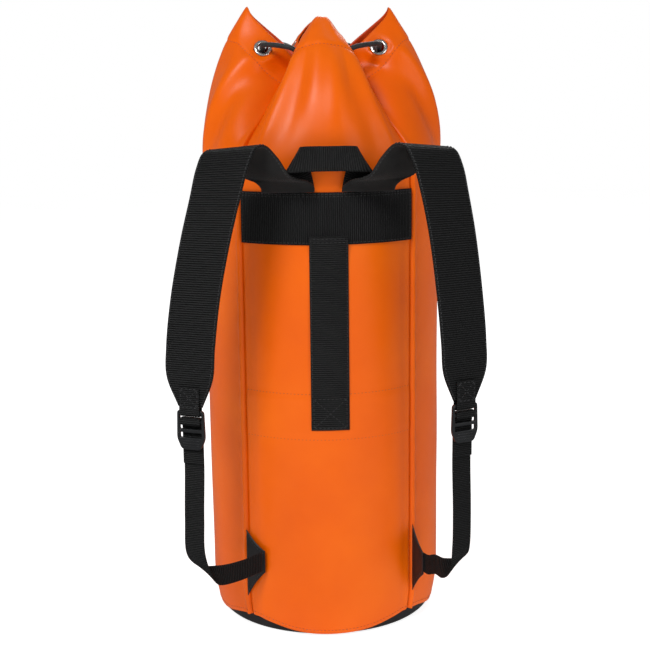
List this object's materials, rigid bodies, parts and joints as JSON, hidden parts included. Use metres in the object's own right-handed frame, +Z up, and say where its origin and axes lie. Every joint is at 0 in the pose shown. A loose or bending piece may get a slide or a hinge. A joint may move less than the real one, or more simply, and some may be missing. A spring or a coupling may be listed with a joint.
{
  "type": "rope storage bag",
  "caption": "Tall round tarpaulin bag with a gathered drawcord mouth, a grab handle and two adjustable shoulder straps.",
  "frame": {"origin": "centre of the base's underside, on the floor", "axes": "+Z up the bag, -Y out of the side that carries the harness"},
  "size_m": [0.367, 0.3527, 0.751],
  "materials": {
    "orange_tarpaulin": "satin PVC-coated fabric",
    "grey_tarpaulin": "satin PVC-coated fabric",
    "black_webbing": "ribbed woven webbing",
    "black_plastic": "moulded, slightly glossy",
    "nickel": "polished nickel plate",
    "black_cord": "braided",
    "spring_steel": "drawn wire"
  },
  "bodies": {
    "bag": {"back_panel": "orange_tarpaulin", "wrap_panel": "orange_tarpaulin", "base_floor": "grey_tarpaulin", "base_wall": "grey_tarpaulin", "inner_reinforcement_strip": "orange_tarpaulin", "back_band": "black_webbing", "center_webbing": "black_webbing", "left_strap_root": "black_webbing", "right_strap_root": "black_webbing", "left_strap_tab": "grey_tarpaulin", "right_strap_tab": "grey_tarpaulin", "eyelet_1": "nickel", "eyelet_2": "nickel", "eyelet_3": "nickel", "eyelet_4": "nickel", "eyelet_5": "nickel", "eyelet_6": "nickel", "eyelet_7": "nickel", "eyelet_8": "nickel", "eyelet_washer_1": "nickel", "eyelet_washer_2": "nickel", "eyelet_washer_3": "nickel", "eyelet_washer_4": "nickel", "eyelet_washer_5": "nickel", "eyelet_washer_6": "nickel", "eyelet_washer_7": "nickel", "eyelet_washer_8": "nickel", "drawcord": "black_cord", "drawcord_tail_left": "black_cord", "drawcord_tail_right": "black_cord", "tail_knot_left": "black_cord", "tail_knot_right": "black_cord"},
    "handle": {"grab_handle": "black_webbing"},
    "left_strap": {"left_shoulder_strap": "black_webbing", "left_buckle_loop": "black_webbing", "left_adjuster_strap": "black_webbing"},
    "left_buckle": {"left_ladder_lock": "black_plastic", "left_adjuster_wrap": "black_webbing"},
    "right_strap": {"right_shoulder_strap": "black_webbing", "right_buckle_loop": "black_webbing", "right_adjuster_strap": "black_webbing"},
    "right_buckle": {"right_ladder_lock": "black_plastic", "right_adjuster_wrap": "black_webbing"},
    "cord_lock": {"cord_lock_barrel": "black_plastic", "cord_lock_spring": "spring_steel"},
    "cord_lock_button": {"cord_lock_plunger": "black_plastic"}
  },
  "joints": [
    {"name": "handle_rock", "type": "hinge", "parent": "bag", "child": "handle", "pos_m": [0, -0.147, 0.541], "axis": [1, 0, 0], "range_deg": [-12, 0]},
    {"name": "left_strap_swing", "type": "hinge", "parent": "bag", "child": "left_strap", "pos_m": [-0.046, -0.156, 0.551], "axis": [0.0788, -0.0514, 0.9956], "range_deg": [-35, 8]},
    {"name": "left_buckle_tilt", "type": "hinge", "parent": "left_strap", "child": "left_buckle", "pos_m": [-0.161, -0.181, 0.297], "axis": [-0.9207, 0.3903, 0], "range_deg": [0, 32]},
    {"name": "right_strap_swing", "type": "hinge", "parent": "bag", "child": "right_strap", "pos_m": [0.046, -0.156, 0.551], "axis": [-0.1511, -0.0415, 0.9876], "range_deg": [-8, 35]},
    {"name": "right_buckle_tilt", "type": "hinge", "parent": "right_strap", "child": "right_buckle", "pos_m": [0.152, -0.181, 0.297], "axis": [-0.9207, -0.3903, 0], "range_deg": [0, 32]},
    {"name": "cord_lock_slide", "type": "slide", "parent": "bag", "child": "cord_lock", "axis": [0, 0, -1], "range_m": [0, 0.05]},
    {"name": "cord_lock_press", "type": "slide", "parent": "cord_lock", "child": "cord_lock_button", "axis": [-0.7071, 0.7071, 0], "range_m": [0, 0.005], "stiffness_N_per_m": 600, "springref_m": -0.003, "deforming": ["cord_lock_spring"]}
  ]
}
